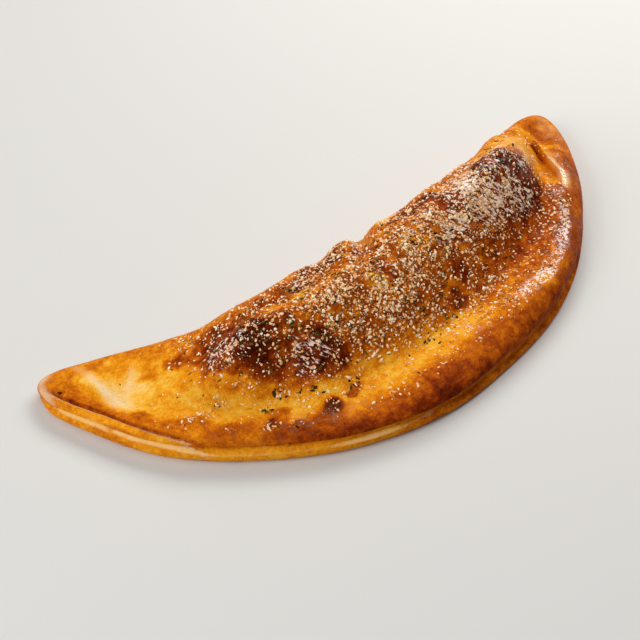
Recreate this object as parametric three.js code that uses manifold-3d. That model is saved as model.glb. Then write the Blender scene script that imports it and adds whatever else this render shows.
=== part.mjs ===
// A whole calzone: a round of dough folded over its filling, its rim rolled and pressed shut, baked and
// dusted with grated cheese and dried herbs. Millimetres, +Z up, +X from the blunt tip to the curled tip.
// The folded edge lies at +Y and the rolled rim at -Y. The part stands on its flat underside.
import * as THREE from 'three';
import Module from 'manifold-3d';

const wasm = await Module();
wasm.setup();

// Plan view: the rim is an arc of the dough round, drawn in or out by a few millimetres at each point,
// and the folded edge sags a little towards it.
const doughRadius = 202;
const doughCentre = [-10, 118];
const rimAngles = [-65.5, 67.7];
const rimSwell = [-1.5, 1.5, 0.2, 0, -1.5, -5.2, -3.6, -1.5, 2.2, 8];
const bluntTip = [-198.2, 57.5];
const curledTip = [192.5, 69];
const foldFrom = -189;
const foldTo = 172;
const foldEdge = [72, 63.5, 45, 35.5, 36, 37, 39.5, 44.5, 61.5, 78];

// The ridge of the filling lies this share of the way from the folded edge to the rim.
const ridgeShare = [0.5, 0.5, 0.46, 0.38, 0.32, 0.28, 0.27, 0.27, 0.31, 0.45];
const bluntHeart = [-181, 54];
const curledHeart = [171, 55];

// Heights of the ridge, from the pressed tip over the filling to the hollow of the curled tip.
const padHeight = 13;
const ridgeTop = 50;
const hollowHeight = 14.5;

// The seam: a lower lip of dough, and the upper dough rolled over it. Pairs go from the blunt tip's side
// to the curled tip's side.
const lipHalfHeights = [4.5, 2];
const lipReach = 5;
const rollReaches = [11.5, 15];
const rollInsets = [3, 1.6];
const rollMiddle = 12;
const rollHeights = [11.5, 15, 20.5];
const tipDrop = 4;
const valleyDepths = [0.8, 3];
const valleyReach = 19;

// The slope up to the ridge starts with a hollow foot, this share of its length.
const slopeFoot = 0.28;

// The folded edge: how far its round reaches in, how far its foot is tucked under, and between how many
// spans past each tip the rim turns into it.
const foldReach = 24;
const footTuck = 0.38;
const bluntTurn = [-1.3, 1.1];
const curledTurn = [0.1, 1.7];

// Swellings and dents of the baked crust: centre, half widths, turn in degrees, height.
const reliefs = [
  { name: 'left blister', at: [-99, 0], wide: 15, deep: 9, turn: -20, high: 6 },
  { name: 'dark lump', at: [-75, -31], wide: 11, deep: 8, turn: 0, high: 8 },
  { name: 'dip between them', at: [-91, -16], wide: 7, deep: 6, turn: 0, high: -2.5 },
  { name: 'shoulder', at: [-111, 8], wide: 9, deep: 7, turn: 0, high: 2.5 },
  { name: 'dip behind the shoulder', at: [-112, 31], wide: 17, deep: 8, turn: 60, high: -5 },
  { name: 'right blister', at: [90, 4], wide: 34, deep: 22, turn: 8, high: 5 },
  { name: 'its steep end', at: [123, 9], wide: 9, deep: 13, turn: -25, high: 5 },
  { name: 'smooth end of the fold', at: [130, 53], wide: 12, deep: 9, turn: 25, high: 4.5 },
  { name: 'dip before it', at: [101, 41], wide: 9, deep: 7, turn: 20, high: -3 },
  { name: 'join of fold and tip', at: [156, 65], wide: 12, deep: 9, turn: 10, high: 5.5 },
  { name: 'first fold bump', at: [-20, 25], wide: 7, deep: 8, turn: 0, high: 2.6 },
  { name: 'second fold bump', at: [9, 27], wide: 9, deep: 8, turn: 0, high: 1 },
  { name: 'notch between them', at: [-8, 21], wide: 17, deep: 4, turn: 50, high: -9 },
  { name: 'sag to one side', at: [-35, 24], wide: 17, deep: 6, turn: 52, high: -4.5 },
  { name: 'sag to the other', at: [22, 28], wide: 14, deep: 8, turn: 48, high: -1.5 },
  { name: 'dimple', at: [-157, 34], wide: 8, deep: 12, turn: -10, high: -4 },
  { name: 'border of the pressed pad', at: [-170, 35], wide: 3, deep: 17, turn: 12, high: 1.8 },
  { name: 'pressed pad', at: [-184, 40], wide: 7, deep: 15, turn: 15, high: -1.2 },
  { name: 'flap of the folded sheet', at: [151, 33], wide: 4, deep: 20, turn: 22, high: 3 },
  { name: 'tip hollow', at: [169, 49], wide: 6, deep: 14, turn: 18, high: -3.5 },
  { name: 'slope dip', at: [-55, -20], wide: 16, deep: 8, turn: 0, high: -2.5 },
];
const wrinkles = { from: [-25, -2], step: [22, -3], count: 4, wide: 24, deep: 4.5, turn: 50, high: 1.8 };

// Grid: stations between two points of the outline, and rings from the underside to the ridge.
const stationsPerSpan = 6;
const lipRings = 5;
const rollRings = 6;
const slopeRings = 12;

// Grated cheese and dried herbs, pressed into the buttered crust.
const grainCount = 120;
const flakeCount = 30;
const grainRadius = [1.1, 1.7];
const flakeRadius = [1.6, 2.3];
const grainSpacing = 7;
const sprinkleSeed = 7;

const crustMaterial = new THREE.MeshStandardMaterial({ color: 0xc07a28, roughness: 0.38, metalness: 0 });
crustMaterial.name = 'baked crust';

const radians = THREE.MathUtils.degToRad;
const mix = THREE.MathUtils.lerp;
const ease = THREE.MathUtils.smoothstep;

for (let i = 0; i < wrinkles.count; i += 1) {
  const { from, step, wide, deep, turn, high } = wrinkles;
  const at = [from[0] + i * step[0], from[1] + i * step[1]];
  reliefs.push({ name: `wrinkle ${i + 1}`, at, wide, deep, turn, high });
}

// Outline: blunt tip, rim, curled tip, folded edge. Each rim point is paired with one of the fold.
const spans = foldEdge.length;
const rimPoint = (k) => {
  const share = k / (spans - 1);
  const angle = radians(mix(rimAngles[0], rimAngles[1], share));
  const radius = doughRadius + rimSwell[k];
  const [x, y] = doughCentre;
  return new THREE.Vector3(x + radius * Math.sin(angle), y - radius * Math.cos(angle), 0);
};
const foldPoint = (k) => new THREE.Vector3(mix(foldFrom, foldTo, k / (spans - 1)), foldEdge[k], 0);
const rim = foldEdge.map((_, k) => rimPoint(k));
const fold = foldEdge.map((_, k) => foldPoint(k));
const ridge = fold.map((point, k) => point.clone().lerp(rim[k], ridgeShare[k]));
ridge[0].set(...bluntHeart, 0);
ridge[spans - 1].set(...curledHeart, 0);

const loopThrough = (first, out, last, back) => {
  const points = [first, ...out, last, ...back.slice().reverse()];
  return new THREE.CatmullRomCurve3(points, true, 'catmullrom', 0.5);
};
const tips = [bluntTip, curledTip].map((tip) => new THREE.Vector3(...tip, 0));
const outline = loopThrough(tips[0], rim, tips[1], fold);
const heartStart = new THREE.Vector3(...bluntHeart, 0).add(new THREE.Vector3(-3, 3, 0));
const heartEnd = new THREE.Vector3(...curledHeart, 0).add(new THREE.Vector3(4, 2, 0));
const heart = loopThrough(heartStart, ridge, heartEnd, ridge);

function ridgeHeight(x) {
  const filled = 0.45 * ease(x, -155, -90) + 0.55 * ease(x, -150, -35);
  const swell = 2 * Math.exp(-(((x - 80) / 45) ** 2));
  const high = padHeight + 2.5 * ease(x, -170, -135) + (ridgeTop - padHeight - 2.5) * filled + swell;
  return mix(high, hollowHeight, ease(x, 100, 172));
}

function reliefAt(x, y) {
  let sum = 0;
  for (const { at, wide, deep, turn, high } of reliefs) {
    const angle = radians(turn);
    const dx = x - at[0];
    const dy = y - at[1];
    const along = (dx * Math.cos(angle) + dy * Math.sin(angle)) / wide;
    const across = (dy * Math.cos(angle) - dx * Math.sin(angle)) / deep;
    sum += high * Math.exp(-0.5 * (along ** 2 + across ** 2));
  }
  return sum;
}

// How much a station belongs to the folded edge: 0 along the rim, 1 along the fold, turning at the tips.
function foldShare(t) {
  const loop = 2 * (spans + 1);
  const place = t * loop;
  const half = loop / 2;
  const fromBlunt = Math.min(place, loop - place);
  const fromCurled = Math.abs(place - half);
  const side = place < half ? -1 : 1;
  return fromBlunt < fromCurled ? ease(side * fromBlunt, ...bluntTurn) : ease(side * fromCurled, ...curledTurn);
}

// One section, from the foot over the edge and up to the ridge, as [distance in from the outline, height].
function section(t, edge, length, top) {
  const x = edge.x;
  const bluntCrest = mix(rollHeights[0], rollHeights[1], ease(x, -195, -135));
  const crest = mix(bluntCrest, rollHeights[2], ease(x, -95, 105)) - tipDrop * ease(x, 160, 188);
  const reach = Math.min(mix(...rollReaches, ease(x, -150, -70)), 0.45 * length);
  const bulge = mix(...rollInsets, ease(x, -150, -70));
  const middle = rollMiddle - 2 * (1 - ease(x, -195, -135));
  const lipHalf = mix(...lipHalfHeights, ease(x, -80, 20));
  const rimSide = [];
  for (let i = 0; i < lipRings; i += 1) {
    const a = radians(mix(-90, 66, i / (lipRings - 1)));
    rimSide.push([lipReach * (1 - Math.cos(a)), lipHalf * (1 + Math.sin(a))]);
  }
  for (let i = 0; i < rollRings; i += 1) {
    const a = radians(mix(-25, 90, i / (rollRings - 1)));
    const rise = Math.sin(a) > 0 ? crest - middle : middle - 2 * lipHalf + 1.5;
    rimSide.push([reach - (reach - bulge) * Math.cos(a), middle + rise * Math.sin(a)]);
  }
  const roundReach = Math.min(foldReach, 0.62 * length);
  const roundTop = top - 0.12 * (top - 9);
  const roundMiddle = Math.min(0.42 * top, 18);
  const edgeRings = rimSide.length;
  const foldSide = rimSide.map((_, i) => {
    const a = radians(mix(-90, 90, i / (edgeRings - 1)));
    const s = Math.sin(a);
    const c = Math.abs(Math.cos(a));
    if (s < 0) {
      return [roundReach * footTuck * (1 - c ** 0.8), roundMiddle * (1 - Math.abs(s) ** 0.9)];
    }
    return [roundReach * (1 - c), roundMiddle + (roundTop - roundMiddle) * s];
  });
  const depth = mix(...valleyDepths, ease(x, -20, 110)) * ease(x, -185, -120);
  const valley = crest - depth;
  const valleyAt = reach + Math.min(valleyReach - 5 * ease(x, 75, 135), 0.5 * (length - reach));
  for (let i = 1; i <= slopeRings; i += 1) {
    const q = i / slopeRings;
    const into = mix(reach, length, 0.985 * q);
    const climb = THREE.MathUtils.clamp((into - valleyAt) / (length - valleyAt), 0, 1);
    const eased = (Math.hypot(climb, slopeFoot) - slopeFoot) / (Math.hypot(1, slopeFoot) - slopeFoot);
    const rise = Math.sin((Math.PI / 2) * eased) ** 0.9;
    const roll = crest - depth * ease(into, reach, valleyAt);
    rimSide.push([into, roll + (top - valley) * rise]);
    foldSide.push([mix(roundReach, length, 0.985 * q), mix(roundTop, top, Math.sin((Math.PI / 2) * q))]);
  }
  const share = foldShare(t);
  return rimSide.map(([e, z], i) => [mix(e, foldSide[i][0], share), mix(z, foldSide[i][1], share)]);
}

// The crust as one closed shell: rings of stations, closed by ladders across the ridge and the underside.
function makeCrust() {
  const stations = stationsPerSpan * 2 * (spans + 1);
  const edgeRings = lipRings + rollRings;
  const rings = edgeRings + slopeRings + 1;
  const points = [];
  for (let k = 0; k < stations; k += 1) {
    const t = k / stations;
    const edge = outline.getPoint(t);
    const inner = heart.getPoint(t);
    const share = foldShare(t);
    const length = edge.distanceTo(inner);
    const inward = inner.clone().sub(edge).normalize();
    const profile = section(t, edge, length, ridgeHeight(inner.x));
    profile.unshift([0.6 * length, 0]);
    profile.forEach(([e, z], i) => {
      const point = edge.clone().addScaledVector(inward, e);
      const overRoll = ease(i, 1 + 0.62 * (edgeRings - 1), edgeRings);
      const overFold = ease(i, 1 + 0.45 * (edgeRings - 1), 1 + 0.8 * (edgeRings - 1));
      const above = mix(overRoll, overFold, share);
      point.z = Math.max(z + above * reliefAt(point.x, point.y), 0);
      points[i * stations + k] = point;
    });
  }
  const triangles = [];
  const face = (a, b, c) => {
    if (a !== b && b !== c && c !== a) {
      triangles.push([a, b, c]);
    }
  };
  for (let i = 0; i < rings - 1; i += 1) {
    for (let k = 0; k < stations; k += 1) {
      const next = (k + 1) % stations;
      const low = i * stations;
      const high = low + stations;
      face(low + k, low + next, high + next);
      face(low + k, high + next, high + k);
    }
  }
  const across = (k) => (stations - k) % stations;
  for (let k = 0; k < stations / 2; k += 1) {
    const top = (rings - 1) * stations;
    face(top + k, top + k + 1, top + across(k + 1));
    face(top + k, top + across(k + 1), top + across(k));
    face(k, across(k + 1), k + 1);
    face(k, across(k), across(k + 1));
  }
  return { points, triangles, firstTop: (edgeRings - 1) * stations };
}

function solidFrom(points, triangles) {
  const vertProperties = new Float32Array(points.flatMap((point) => point.toArray()));
  const triVerts = new Uint32Array(triangles.flat());
  return new wasm.Manifold(new wasm.Mesh({ numProp: 3, vertProperties, triVerts }));
}

function seededRandom(seed) {
  let state = seed;
  return () => {
    state = (state * 1664525 + 1013904223) % 4294967296;
    return state / 4294967296;
  };
}

// Cheese is thickest on the crown and thin in the valley; herbs lie a little wider.
function sprinkleDensity(x, y) {
  const fromRim = doughRadius - Math.hypot(x - doughCentre[0], y - doughCentre[1]);
  const ends = ease(x, -150, -100) * (1 - ease(x, 125, 150));
  return (0.03 + 0.97 * ease(fromRim, 22, 60)) * (0.05 + 0.95 * ends);
}

function grainShape(radius, flat, random) {
  const leaf = () => new THREE.CylinderGeometry(radius, radius * 0.8, radius * 0.6, 5);
  const shape = flat ? leaf().rotateX(Math.PI / 2) : new THREE.OctahedronGeometry(radius, 0);
  shape.scale(1 + 0.5 * random(), 0.8 + 0.3 * random(), 1);
  return shape;
}

function makeSprinkles(crust) {
  const random = seededRandom(sprinkleSeed);
  const up = new THREE.Vector3(0, 0, 1);
  const sites = [];
  let total = 0;
  for (const corners of crust.triangles) {
    if (Math.min(...corners) < crust.firstTop) {
      continue;
    }
    const [a, b, c] = corners.map((i) => crust.points[i]);
    const triangle = new THREE.Triangle(a, b, c);
    const middle = triangle.getMidpoint(new THREE.Vector3());
    total += triangle.getArea() * sprinkleDensity(middle.x, middle.y);
    sites.push({ triangle, total });
  }
  const seats = [];
  const pieces = [];
  const wanted = grainCount + flakeCount;
  for (let tries = 0; pieces.length < wanted && tries < 60 * wanted; tries += 1) {
    const draw = random() * total;
    const { triangle } = sites.find((site) => site.total >= draw);
    let [u, v] = [random(), random()];
    if (u + v > 1) {
      [u, v] = [1 - u, 1 - v];
    }
    const seat = triangle.a.clone().multiplyScalar(1 - u - v);
    seat.addScaledVector(triangle.b, u).addScaledVector(triangle.c, v);
    if (seats.some((other) => other.distanceTo(seat) < grainSpacing)) {
      continue;
    }
    seats.push(seat);
    const flat = pieces.length >= grainCount;
    const range = flat ? flakeRadius : grainRadius;
    const radius = mix(range[1], range[0], (pieces.length % grainCount) / grainCount);
    const normal = triangle.getNormal(new THREE.Vector3());
    const turn = new THREE.Quaternion().setFromUnitVectors(up, normal);
    const spin = new THREE.Quaternion().setFromAxisAngle(up, random() * 2 * Math.PI);
    const place = new THREE.Matrix4().compose(seat, turn.multiply(spin), new THREE.Vector3(1, 1, 1));
    pieces.push(grainShape(radius, flat, random).applyMatrix4(place));
  }
  return pieces;
}

function mergedSolid(geometry) {
  const index = new Map();
  const points = [];
  const place = geometry.getAttribute('position');
  const unindexed = () => Array.from({ length: place.count }, (_, i) => i);
  const order = geometry.index ? Array.from(geometry.index.array) : unindexed();
  const corners = order.map((i) => {
    const point = new THREE.Vector3().fromBufferAttribute(place, i);
    const key = point.toArray().map((value) => value.toFixed(4)).join(' ');
    if (!index.has(key)) {
      index.set(key, points.length);
      points.push(point);
    }
    return index.get(key);
  });
  const triangles = [];
  for (let i = 0; i < corners.length; i += 3) {
    const [a, b, c] = corners.slice(i, i + 3);
    if (a !== b && b !== c && c !== a) {
      triangles.push([a, b, c]);
    }
  }
  return solidFrom(points, triangles);
}

function geometryFrom(solid) {
  const mesh = solid.getMesh();
  const geometry = new THREE.BufferGeometry();
  geometry.setAttribute('position', new THREE.BufferAttribute(new Float32Array(mesh.vertProperties), 3));
  geometry.setIndex(Array.from(mesh.triVerts));
  geometry.computeVertexNormals();
  return geometry;
}

const crust = makeCrust();
let body = solidFrom(crust.points, crust.triangles);
for (const piece of makeSprinkles(crust)) {
  body = body.add(mergedSolid(piece));
}
const geometry = geometryFrom(body);
geometry.computeBoundingBox();
const middle = geometry.boundingBox.getCenter(new THREE.Vector3());

const calzone = new THREE.Mesh(geometry, crustMaterial);
calzone.name = 'calzone';
calzone.position.set(-middle.x, -middle.y, 0);

const group = new THREE.Group();
group.add(calzone);
export default group;
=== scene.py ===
from math import cos, pi, radians, sin

import bpy
import numpy as np
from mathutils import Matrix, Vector, noise


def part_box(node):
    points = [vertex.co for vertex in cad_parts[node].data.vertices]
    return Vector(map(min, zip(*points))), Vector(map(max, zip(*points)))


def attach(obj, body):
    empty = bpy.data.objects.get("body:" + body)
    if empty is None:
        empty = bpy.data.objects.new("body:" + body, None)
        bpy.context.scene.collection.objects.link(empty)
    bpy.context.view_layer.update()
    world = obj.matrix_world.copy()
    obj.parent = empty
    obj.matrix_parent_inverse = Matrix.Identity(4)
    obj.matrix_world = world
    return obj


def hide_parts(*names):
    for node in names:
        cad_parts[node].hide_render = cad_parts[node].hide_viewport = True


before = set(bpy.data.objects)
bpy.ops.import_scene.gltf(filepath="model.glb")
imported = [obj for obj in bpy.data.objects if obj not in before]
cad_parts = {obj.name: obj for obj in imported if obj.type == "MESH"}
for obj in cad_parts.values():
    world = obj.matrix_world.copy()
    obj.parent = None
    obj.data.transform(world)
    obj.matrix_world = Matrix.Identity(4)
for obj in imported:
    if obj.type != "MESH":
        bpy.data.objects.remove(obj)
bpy.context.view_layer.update()    # one node, calzone, on the body root
scene = bpy.context.scene
mm = 0.001

# The calzone lies along X: blunt tip at -X, curled tip at +X, folded edge at +Y, rolled rim at -Y.
# Sizes are in millimetres, in plan from the middle of the chord. The shift to the frame's origin comes last.
# A span is a stretch of X over which one size turns into another.
dough = {
    "radius": 202.0,    # rim, an arc of the dough round
    "centre": (-10.0, 118.0),
    "rimAngles": (-65.5, 67.7),
    "rimSwell": (-1.5, 1.5, 0.2, 0, -1.5, -5.2, -3.6, -1.5, 2.2, 8),
    "bluntTip": (-198.2, 57.5),
    "curledTip": (192.5, 69.0),
    "foldSpan": (-189.0, 172.0),
    "foldEdge": (72, 63.5, 45, 35.5, 36, 37, 39.5, 44.5, 61.5, 78),
    "ridgeShare": (0.5, 0.5, 0.46, 0.38, 0.32, 0.28, 0.27, 0.27, 0.31, 0.45),
    "bluntHeart": (-181.0, 54.0),
    "curledHeart": (171.0, 55.0),
    "stationsPerSpan": 30,
    "slopeRings": 96,
    "slopeCover": 0.985,    # share of the way to the heart line that the rings cover
}
ridge = {
    "top": 50.0,
    "padHeight": 13.0, "padRise": 2.5, "padSpan": (-170, -135),
    "filled": ((0.45, (-155, -90)), (0.55, (-150, -35))),    # shares of the climb, each with its span
    "swell": 2.0, "swellAt": 80.0, "swellWidth": 45.0,
    "hollowHeight": 14.5, "hollowSpan": (100, 172),
}
seam = {
    "lipHalfHeights": (4.5, 2.0), "lipSpan": (-80, 20),
    "lipTurn": (-90, 66),    # degrees that its section turns
    "lipReach": 5.0,
    "lipRings": 13,
    "rollReaches": (11.5, 15.0), "rollInsets": (3.0, 1.6), "rollSpan": (-150, -70),
    "rollShare": 0.45,    # of the slope, at most
    "rollTurn": (-25, 90),
    "rollMiddle": 12.0, "middleDrop": 2.0,
    "rollRings": 30,
    "rollHeights": (11.5, 15.0, 20.5), "heightSpans": ((-195, -135), (-95, 105)),
    "tipDrop": 4.0, "tipSpan": (160, 188),
    "lipGap": 1.5,    # height from the lip to the roll
    "valleyDepths": (0.8, 3.0), "depthSpan": (-20, 110), "valleyStart": (-185, -120),
    "valleyReach": 19.0, "valleyNarrows": 5.0, "narrowSpan": (75, 135),
    "footLength": 0.28,    # share of the slope that its hollow foot takes
    "slopePower": 0.9,
}
fold = {
    "reach": 24.0, "reachShare": 0.62,    # share of the slope, at most
    "droop": 0.12, "droopFrom": 9.0,    # share of the height above that
    "middleShare": 0.42, "middleTop": 18.0,
    "tuck": 0.38,
    "tuckPower": 0.8, "footPower": 0.9,
    "turns": ((-1.3, 1.1), (0.1, 1.7)),    # spans past each tip in which the rim turns into the fold
}
# Swellings and dents. Rows of humps hold middle x and y, spread along and across, turn in degrees and height.
reliefs = [
    (-99, 0, 15, 9, -20, 6),       # left blister
    (-75, -31, 11, 8, 0, 8),       # dark lump
    (-91, -16, 7, 6, 0, -2.5),     # dip between them
    (-111, 8, 9, 7, 0, 2.5),       # shoulder
    (-112, 31, 17, 8, 60, -5),     # dip behind the shoulder
    (90, 4, 34, 22, 8, 5),         # right blister
    (123, 9, 9, 13, -25, 5),       # its steep end
    (130, 53, 12, 9, 25, 4.5),     # smooth end of the folded edge
    (101, 41, 9, 7, 20, -3),       # dip before it
    (156, 65, 12, 9, 10, 5.5),     # where it joins the tip
    (-20, 25, 7, 8, 0, 2.6),       # first fold bump
    (9, 27, 9, 8, 0, 1.0),         # second fold bump
    (-8, 21, 17, 4, 50, -9),       # notch between them
    (-35, 24, 17, 6, 52, -4.5),    # sag to one side
    (22, 28, 14, 8, 48, -1.5),     # sag to the other
    (-157, 34, 8, 12, -10, -4),    # dimple
    (-170, 35, 2.4, 17, 12, 1.8),  # border of the pressed pad
    (-184, 40, 7, 15, 15, -1.2),   # pressed pad
    (170, 50, 7, 13, 20, -3.0),    # tip hollow
    (-55, -20, 16, 8, 0, -2.5),    # slope dip
] + [(-25 + 22 * i, -2 - 3 * i, 24, 4.5, 50, 1.8) for i in range(4)]    # slanting wrinkles
reliefs += [(-168 + 1.9 * i, 33 - 2 * i, 0.6, 12 - i, 13, 0.45) for i in range(4)]    # fine creases of the pad
reliefs += [(-108 + 5.5 * i, -17 - 2.5 * i, 7, 1.1, -52, 0.9) for i in range(4)]    # below the left blister
reliefs += [(86 + 7 * i, 22 - 1.5 * i, 9, 1.3, -42, 1.1) for i in range(4)]    # behind the right blister
flap = {    # end of the folded top sheet, over the hollow of the curled tip
    "line": ((166, 69), (164, 61), (161, 52), (157, 41), (153, 31), (149, 22), (145, 12), (141, 5), (135, -2)),
    "thickness": 3.8, "back": 11.0, "edge": 0.6, "hollow": 2.6, "hollowWidth": 7.0,
    "start": (0.08, 0.35), "end": (0.72, 1.0),    # shares of the line over which it rises and dies away
}
crease = {    # edge of the top sheet on the rolled rim: x, and distance in from the rim's arc
    "line": ((-197, 8.5), (-185, 10.2), (-179, 10.7), (-175, 9.9), (-172, 7.9), (-168, 6.1), (-162, 4.5),
             (-157, 3.2), (-150, 0.3)),
    "step": 1.0, "groove": 0.8,
    "start": (-199, -191), "end": (-154, -146),
}
skin = {    # heights of its relief
    "sag": 1.3,    # slow unevenness of the dough
    "puff": 0.9,    # lumps of filling
    "bubble": 0.55,    # oven bubbles where it browned
    "crackle": 0.34,
    "grain": 0.12,
    "frost": 0.6,    # melted shreds
    "overRoll": (0.62, 1.0),    # share of the rim's rings over which relief sets in
    "overFold": (0.45, 0.8),
}
noises = {    # seed and size
    "sag": (1, 42.0), "puff": (2, 13.0), "mottle": (3, 9.0), "fineMottle": (4, 3.5), "dusting": (5, 10.0),
    "herbs": (6, 14.0), "bubble": (7, 6.5), "grain": (8, 2.0), "crackle": (9, 3.4), "frost": (12, 2.0),
    "fineDusting": (15, 3.5), "strays": (17, 6.0), "waverX": (21, 12.0), "waverY": (22, 12.0),
}


def ease(x, low, high):
    t = np.clip((x - low) / (high - low), 0, 1)
    return t * t * (3 - 2 * t)


def bell(x, middle, width):
    return np.exp(-((x - middle) / width) ** 2)


def blend(a, b, share):
    return a + (b - a) * share


def hump(x, y, middleX, middleY, long, short, turn):
    a = radians(turn)
    dx, dy = x - middleX, y - middleY
    along = (dx * cos(a) + dy * sin(a)) / long
    across = (dy * cos(a) - dx * sin(a)) / short
    return np.exp(-0.5 * (along ** 2 + across ** 2))


def sumOfHumps(x, y, rows):
    return sum(row[-1] * hump(x, y, *row[:-1]) for row in rows)


def loopPoint(points, t):    # a closed curve through the points
    n = len(points)
    place = t * n
    i = np.floor(place).astype(int)
    w = (place - i)[:, None]
    before, start, end, after = (points[(i + k) % n] for k in (-1, 0, 1, 2))
    leave, arrive = (end - before) / 2, (after - start) / 2
    bend = -3 * start + 3 * end - 2 * leave - arrive
    return start + leave * w + bend * w ** 2 + (2 * start - 2 * end + leave + arrive) * w ** 3


def outlineAndHeart():    # the heart is the closed loop round the ridge line
    share = np.linspace(0, 1, len(dough["foldEdge"]))
    angle = np.radians(blend(*dough["rimAngles"], share))
    radius = dough["radius"] + np.array(dough["rimSwell"])
    rim = np.c_[dough["centre"][0] + radius * np.sin(angle), dough["centre"][1] - radius * np.cos(angle)]
    folded = np.c_[blend(*dough["foldSpan"], share), dough["foldEdge"]]
    line = folded + (rim - folded) * np.array(dough["ridgeShare"])[:, None]
    line[0], line[-1] = dough["bluntHeart"], dough["curledHeart"]
    outline = np.vstack([[dough["bluntTip"]], rim, [dough["curledTip"]], folded[::-1]])
    heart = np.vstack([[line[0] + (-3, 3)], line, [line[-1] + (4, 2)], line[::-1]])
    return outline, heart


def ridgeHeight(x):
    filled = sum(share * ease(x, *span) for share, span in ridge["filled"])
    low = ridge["padHeight"] + ridge["padRise"] * ease(x, *ridge["padSpan"])
    high = low + (ridge["top"] - ridge["padHeight"] - ridge["padRise"]) * filled
    high = high + ridge["swell"] * bell(x, ridge["swellAt"], ridge["swellWidth"])
    return blend(high, ridge["hollowHeight"], ease(x, *ridge["hollowSpan"]))


def foldShare(t):    # 0 along the rim, 1 along the folded edge
    loop = 2 * (len(dough["foldEdge"]) + 1)
    place = t * loop
    fromBlunt, fromCurled = np.minimum(place, loop - place), np.abs(place - loop / 2)
    side = np.where(place < loop / 2, -1, 1)
    atBlunt, atCurled = (ease(side * near, *turn) for near, turn in zip((fromBlunt, fromCurled), fold["turns"]))
    return np.where(fromBlunt < fromCurled, atBlunt, atCurled)


def slopeShares():
    return np.linspace(0, 1, dough["slopeRings"] + 1)[1:]


def rimSection(x, length, top):    # rings of distance in from the outline and height, and how many are edge
    fromTip, toMiddle = ease(x, *seam["heightSpans"][0]), ease(x, *seam["rollSpan"])
    crest = blend(blend(*seam["rollHeights"][:2], fromTip), seam["rollHeights"][2], ease(x, *seam["heightSpans"][1]))
    crest = crest - seam["tipDrop"] * ease(x, *seam["tipSpan"])
    reach = np.minimum(blend(*seam["rollReaches"], toMiddle), seam["rollShare"] * length)
    inset = blend(*seam["rollInsets"], toMiddle)
    middle = seam["rollMiddle"] - seam["middleDrop"] * (1 - fromTip)
    lipHalf = blend(*seam["lipHalfHeights"], ease(x, *seam["lipSpan"]))
    rings = []
    for a in np.radians(np.linspace(*seam["lipTurn"], seam["lipRings"])):
        rings.append((seam["lipReach"] * (1 - cos(a)) + 0 * x, lipHalf * (1 + sin(a))))
    for a in np.radians(np.linspace(*seam["rollTurn"], seam["rollRings"])):
        rise = crest - middle if a > 0 else middle - 2 * lipHalf + seam["lipGap"]
        rings.append((reach - (reach - inset) * cos(a), middle + rise * sin(a)))
    edgeRings = len(rings)
    depth = blend(*seam["valleyDepths"], ease(x, *seam["depthSpan"])) * ease(x, *seam["valleyStart"])
    width = seam["valleyReach"] - seam["valleyNarrows"] * ease(x, *seam["narrowSpan"])
    valleyAt = reach + np.minimum(width, 0.5 * (length - reach))
    foot = seam["footLength"]
    for q in slopeShares():
        into = blend(reach, length, dough["slopeCover"] * q)
        climb = np.clip((into - valleyAt) / (length - valleyAt), 0, 1)
        eased = (np.sqrt(climb ** 2 + foot ** 2) - foot) / ((1 + foot ** 2) ** 0.5 - foot)
        roll = crest - depth * ease(into, reach, valleyAt)
        rings.append((into, roll + (top - crest + depth) * np.sin(pi / 2 * eased) ** seam["slopePower"]))
    return rings, edgeRings


def foldSection(length, top, edgeRings):
    reach = np.minimum(fold["reach"], fold["reachShare"] * length)
    shoulder = top - fold["droop"] * (top - fold["droopFrom"])
    middle = np.minimum(fold["middleShare"] * top, fold["middleTop"])
    rings = []
    for a in np.radians(np.linspace(-90, 90, edgeRings)):
        if a < 0:
            tuck = reach * fold["tuck"] * (1 - abs(cos(a)) ** fold["tuckPower"])
            rings.append((tuck, middle * (1 - abs(sin(a)) ** fold["footPower"])))
        else:
            rings.append((reach * (1 - cos(a)), middle + (shoulder - middle) * sin(a)))
    for q in slopeShares():
        rings.append((blend(reach, length, dough["slopeCover"] * q), blend(shoulder, top, sin(pi / 2 * q))))
    return rings


def section(t, x, length, top):    # rings all round, and how far each station belongs to the fold
    rim, edgeRings = rimSection(x, length, top)
    sides = (rim, foldSection(length, top, edgeRings))
    share = foldShare(t)
    inset, height = (blend(*(np.array([ring[i] for ring in side]) for side in sides), share) for i in (0, 1))
    return inset, height, edgeRings, share


def flapPlace(x, y):    # distance behind the flap's edge, and share of the way along it
    line = np.array(flap["line"], float)
    best, side, along = np.full(x.shape, 1e9), np.zeros(x.shape), np.zeros(x.shape)
    for k in range(len(line) - 1):
        run = line[k + 1] - line[k]
        share = np.clip(((x - line[k][0]) * run[0] + (y - line[k][1]) * run[1]) / (run @ run), 0, 1)
        dx, dy = x - line[k][0] - share * run[0], y - line[k][1] - share * run[1]
        away = np.hypot(dx, dy)
        near = away < best
        best = np.where(near, away, best)
        side = np.where(near, np.sign(dx * run[1] - dy * run[0]), side)    # +1 towards the tip
        along = np.where(near, (k + share) / (len(line) - 1), along)
    return -side * best, along


def flapRelief(behind, along):    # a step down across the edge, then the hollow
    ends = ease(along, *flap["start"]) * (1 - ease(along, *flap["end"]))
    step = ease(behind, -flap["edge"], flap["edge"])
    lift = flap["thickness"] * step * np.exp(-np.maximum(behind, 0) / flap["back"])
    sink = flap["hollow"] * bell(behind, -flap["hollowWidth"] / 2, flap["hollowWidth"]) * (behind < 0)
    return ends * (lift - sink)


def creasePlace(x, rimward, share):    # distance above the crease, and its strength
    at = np.interp(x, *np.array(crease["line"]).T)
    return rimward - at, ease(x, *crease["start"]) * (1 - ease(x, *crease["end"])) * (1 - share)


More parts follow.
